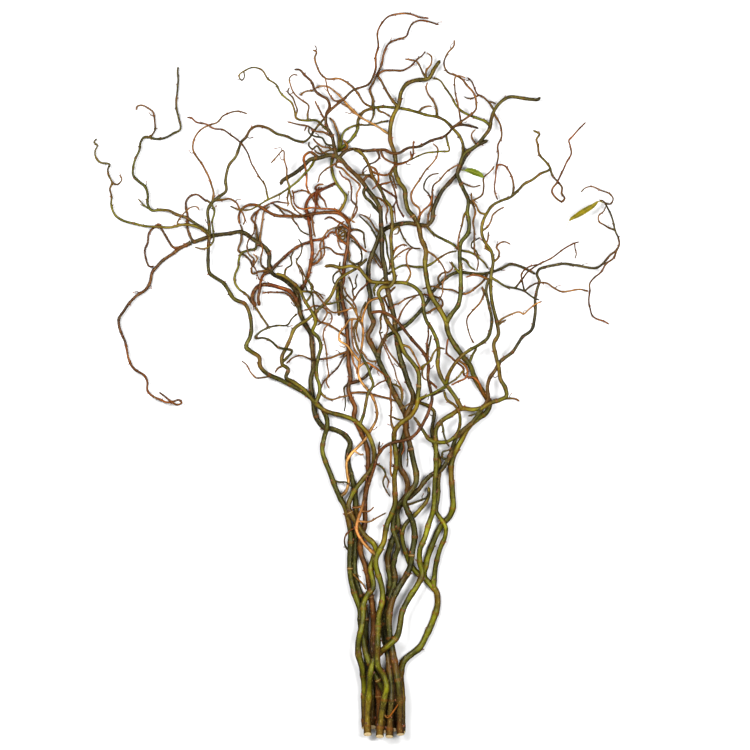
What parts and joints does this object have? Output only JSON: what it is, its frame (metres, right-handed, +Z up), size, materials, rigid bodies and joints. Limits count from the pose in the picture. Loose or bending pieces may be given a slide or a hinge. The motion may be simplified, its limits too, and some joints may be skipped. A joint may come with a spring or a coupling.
{
  "type": "bunch of cut corkscrew willow stems",
  "caption": "Loose bunch of cut, twisting willow stems lying flat, fanned from side-by-side cut ends to fine tips, with two narrow leaves.",
  "frame": {"origin": "middle of the bunch's box, on the surface it lies on", "axes": "+X across the bunch, +Y from the cut ends towards the tips, +Z up from the surface"},
  "size_m": [0.7888, 1.0819, 0.0545],
  "materials": {
    "olive_bark": "smooth waxy olive green bark with brown flecks",
    "dark_bark": "smooth dark grey-green bark",
    "brown_bark": "smooth red-brown bark on the young shoots",
    "green_leaf": "thin fresh leaf, satin",
    "yellow_leaf": "thin fading leaf, satin"
  },
  "bodies": {
    "root": {"stem_1": "dark_bark", "stem_2": "brown_bark", "stem_3": "dark_bark", "stem_4": "olive_bark", "stem_5": "olive_bark", "stem_6": "olive_bark", "stem_7": "dark_bark", "stem_8": "dark_bark", "stem_9": "olive_bark", "stem_10": "olive_bark", "leaf_green": "green_leaf", "leaf_yellow": "yellow_leaf"}
  },
  "joints": []
}
